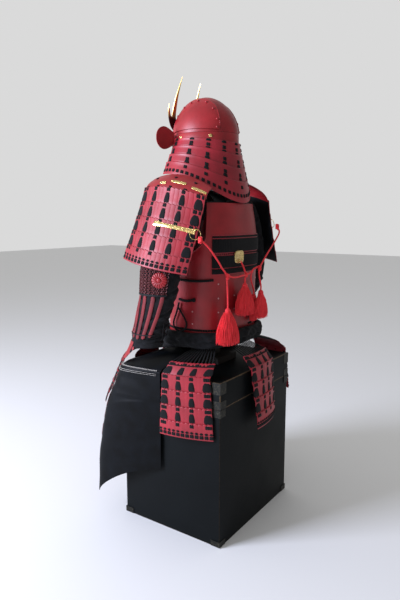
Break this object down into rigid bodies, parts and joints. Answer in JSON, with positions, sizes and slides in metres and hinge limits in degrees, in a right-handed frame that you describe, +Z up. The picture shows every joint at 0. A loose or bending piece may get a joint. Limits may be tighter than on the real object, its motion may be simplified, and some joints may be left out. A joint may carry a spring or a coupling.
{
  "type": "samurai armour on its armour chest, with the wooden stand inside it",
  "caption": "Japanese samurai armour in red lacquer, with horned helmet, shoulder guards, sleeves, tassets and red tassels, on a black armour chest.",
  "frame": {"origin": "middle of the chest's underside on the floor", "axes": "the armour faces -Y, its left side is +X, +Z is up"},
  "size_m": [0.6688, 0.5851, 1.5235],
  "materials": {
    "red_lacquer": "red urushi lacquer over plates, satin gloss",
    "black_lacquer": "near-black lacquer on wood and leather, worn at the edges",
    "black_cloth": "black woven cloth and lacing, matt",
    "gilt_metal": "gilt copper, polished",
    "red_silk": "bright red twisted silk",
    "plain_wood": "plain wood, stained dark"
  },
  "bodies": {
    "root": {"chest_body": "black_lacquer", "chest_lid": "black_lacquer", "shoulder_strap_left": "black_lacquer", "shoulder_strap_right": "black_lacquer", "stand_post": "plain_wood", "stand_shoulder_bar": "plain_wood", "stand_head": "plain_wood", "helmet_bowl": "red_lacquer", "helmet_side_left": "red_lacquer", "helmet_side_right": "red_lacquer", "helmet_band": "red_lacquer", "helmet_brim": "red_lacquer", "crest_disc": "red_lacquer", "neck_lame_1": "red_lacquer", "neck_lame_2": "red_lacquer", "neck_lame_3": "red_lacquer", "neck_lame_4": "red_lacquer", "ear_plate_left": "red_lacquer", "ear_plate_right": "red_lacquer", "cuirass_back": "red_lacquer", "cuirass_front": "red_lacquer", "tasset_left_rear": "red_lacquer", "tasset_right_rear": "red_lacquer", "tasset_back": "red_lacquer", "tasset_left_front": "red_lacquer", "tasset_right_front": "red_lacquer", "tasset_front_left": "red_lacquer", "tasset_front_right": "red_lacquer", "shoulder_guard_left": "red_lacquer", "shoulder_guard_right": "red_lacquer", "guard_crown_left": "red_lacquer", "guard_crown_right": "red_lacquer", "elbow_disc_left": "red_lacquer", "elbow_disc_right": "red_lacquer", "hand_guard_left": "red_lacquer", "hand_guard_right": "red_lacquer", "crest_horns": "gilt_metal", "knot_plate": "gilt_metal", "ring_left": "gilt_metal", "ring_right": "gilt_metal", "back_band": "black_cloth", "belt": "black_cloth", "sleeve_left": "black_cloth", "sleeve_right": "black_cloth", "thigh_guard_left": "black_cloth", "thigh_guard_right": "black_cloth", "cord_left": "red_silk", "cord_middle": "red_silk", "cord_centre": "red_silk", "cord_right": "red_silk", "cord_rear": "red_silk", "tassel_left": "red_silk", "tassel_centre": "red_silk", "tassel_right": "red_silk", "tassel_rear": "red_silk"}
  },
  "joints": []
}
